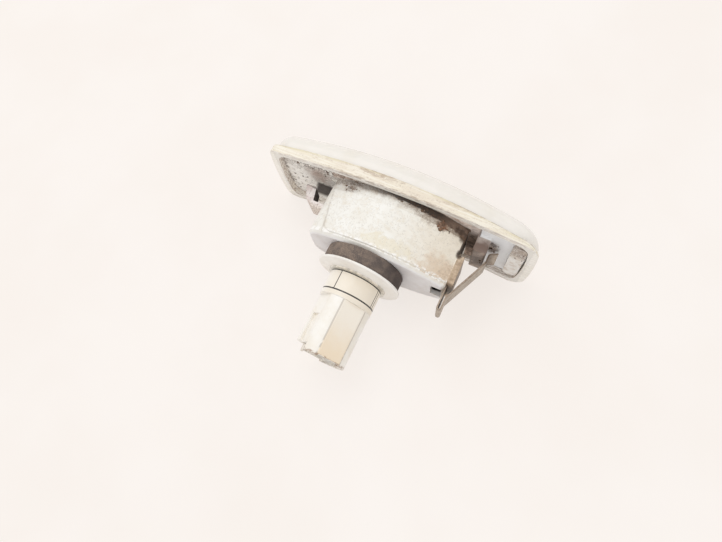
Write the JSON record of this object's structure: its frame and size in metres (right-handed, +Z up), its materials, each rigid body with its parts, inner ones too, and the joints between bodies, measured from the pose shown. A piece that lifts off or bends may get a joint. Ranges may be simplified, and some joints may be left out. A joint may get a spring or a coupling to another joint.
{
  "type": "side repeater lamp",
  "caption": "Rounded oblong side repeater lamp: clear lens, moulded housing with panel hook, flat retaining spring, twist-in bulb holder with rubber seal and plug socket.",
  "frame": {"origin": "where the bulb axis meets the seat plane, on which the two ends of the lens rim's back face rest on the wing panel", "axes": "+X along the lens towards the hook end, +Y back along the bulb axis to the plug socket, +Z up"},
  "size_m": [0.0802, 0.0576, 0.0262],
  "materials": {
    "lens_clear": "clear moulded acrylic, slightly hazed",
    "housing_white": "moulded off-white, soiled",
    "spring_steel": "dull tarnished spring steel",
    "holder_cream": "moulded cream, satin",
    "seal_rubber": "matt, dusty",
    "terminal_brass": "tinned brass strip",
    "bulb_amber": "amber glass",
    "filament_wire": "coiled tungsten",
    "lead_wire": "plain wire"
  },
  "bodies": {
    "lamp": {"lens": "lens_clear", "housing": "housing_white", "retaining_spring": "spring_steel"},
    "bulb_unit": {"bulb_holder": "holder_cream", "socket_seal": "seal_rubber", "terminal_upper": "terminal_brass", "terminal_lower": "terminal_brass", "bulb_glass": "bulb_amber", "bulb_filament": "filament_wire", "bulb_lead_a": "lead_wire", "bulb_lead_b": "lead_wire"}
  },
  "joints": [
    {"name": "bulb_holder_twist", "type": "hinge", "parent": "lamp", "child": "bulb_unit", "pos_m": [0, 0.0205, 0], "axis": [0, 1, 0], "range_deg": [0, 45]}
  ]
}
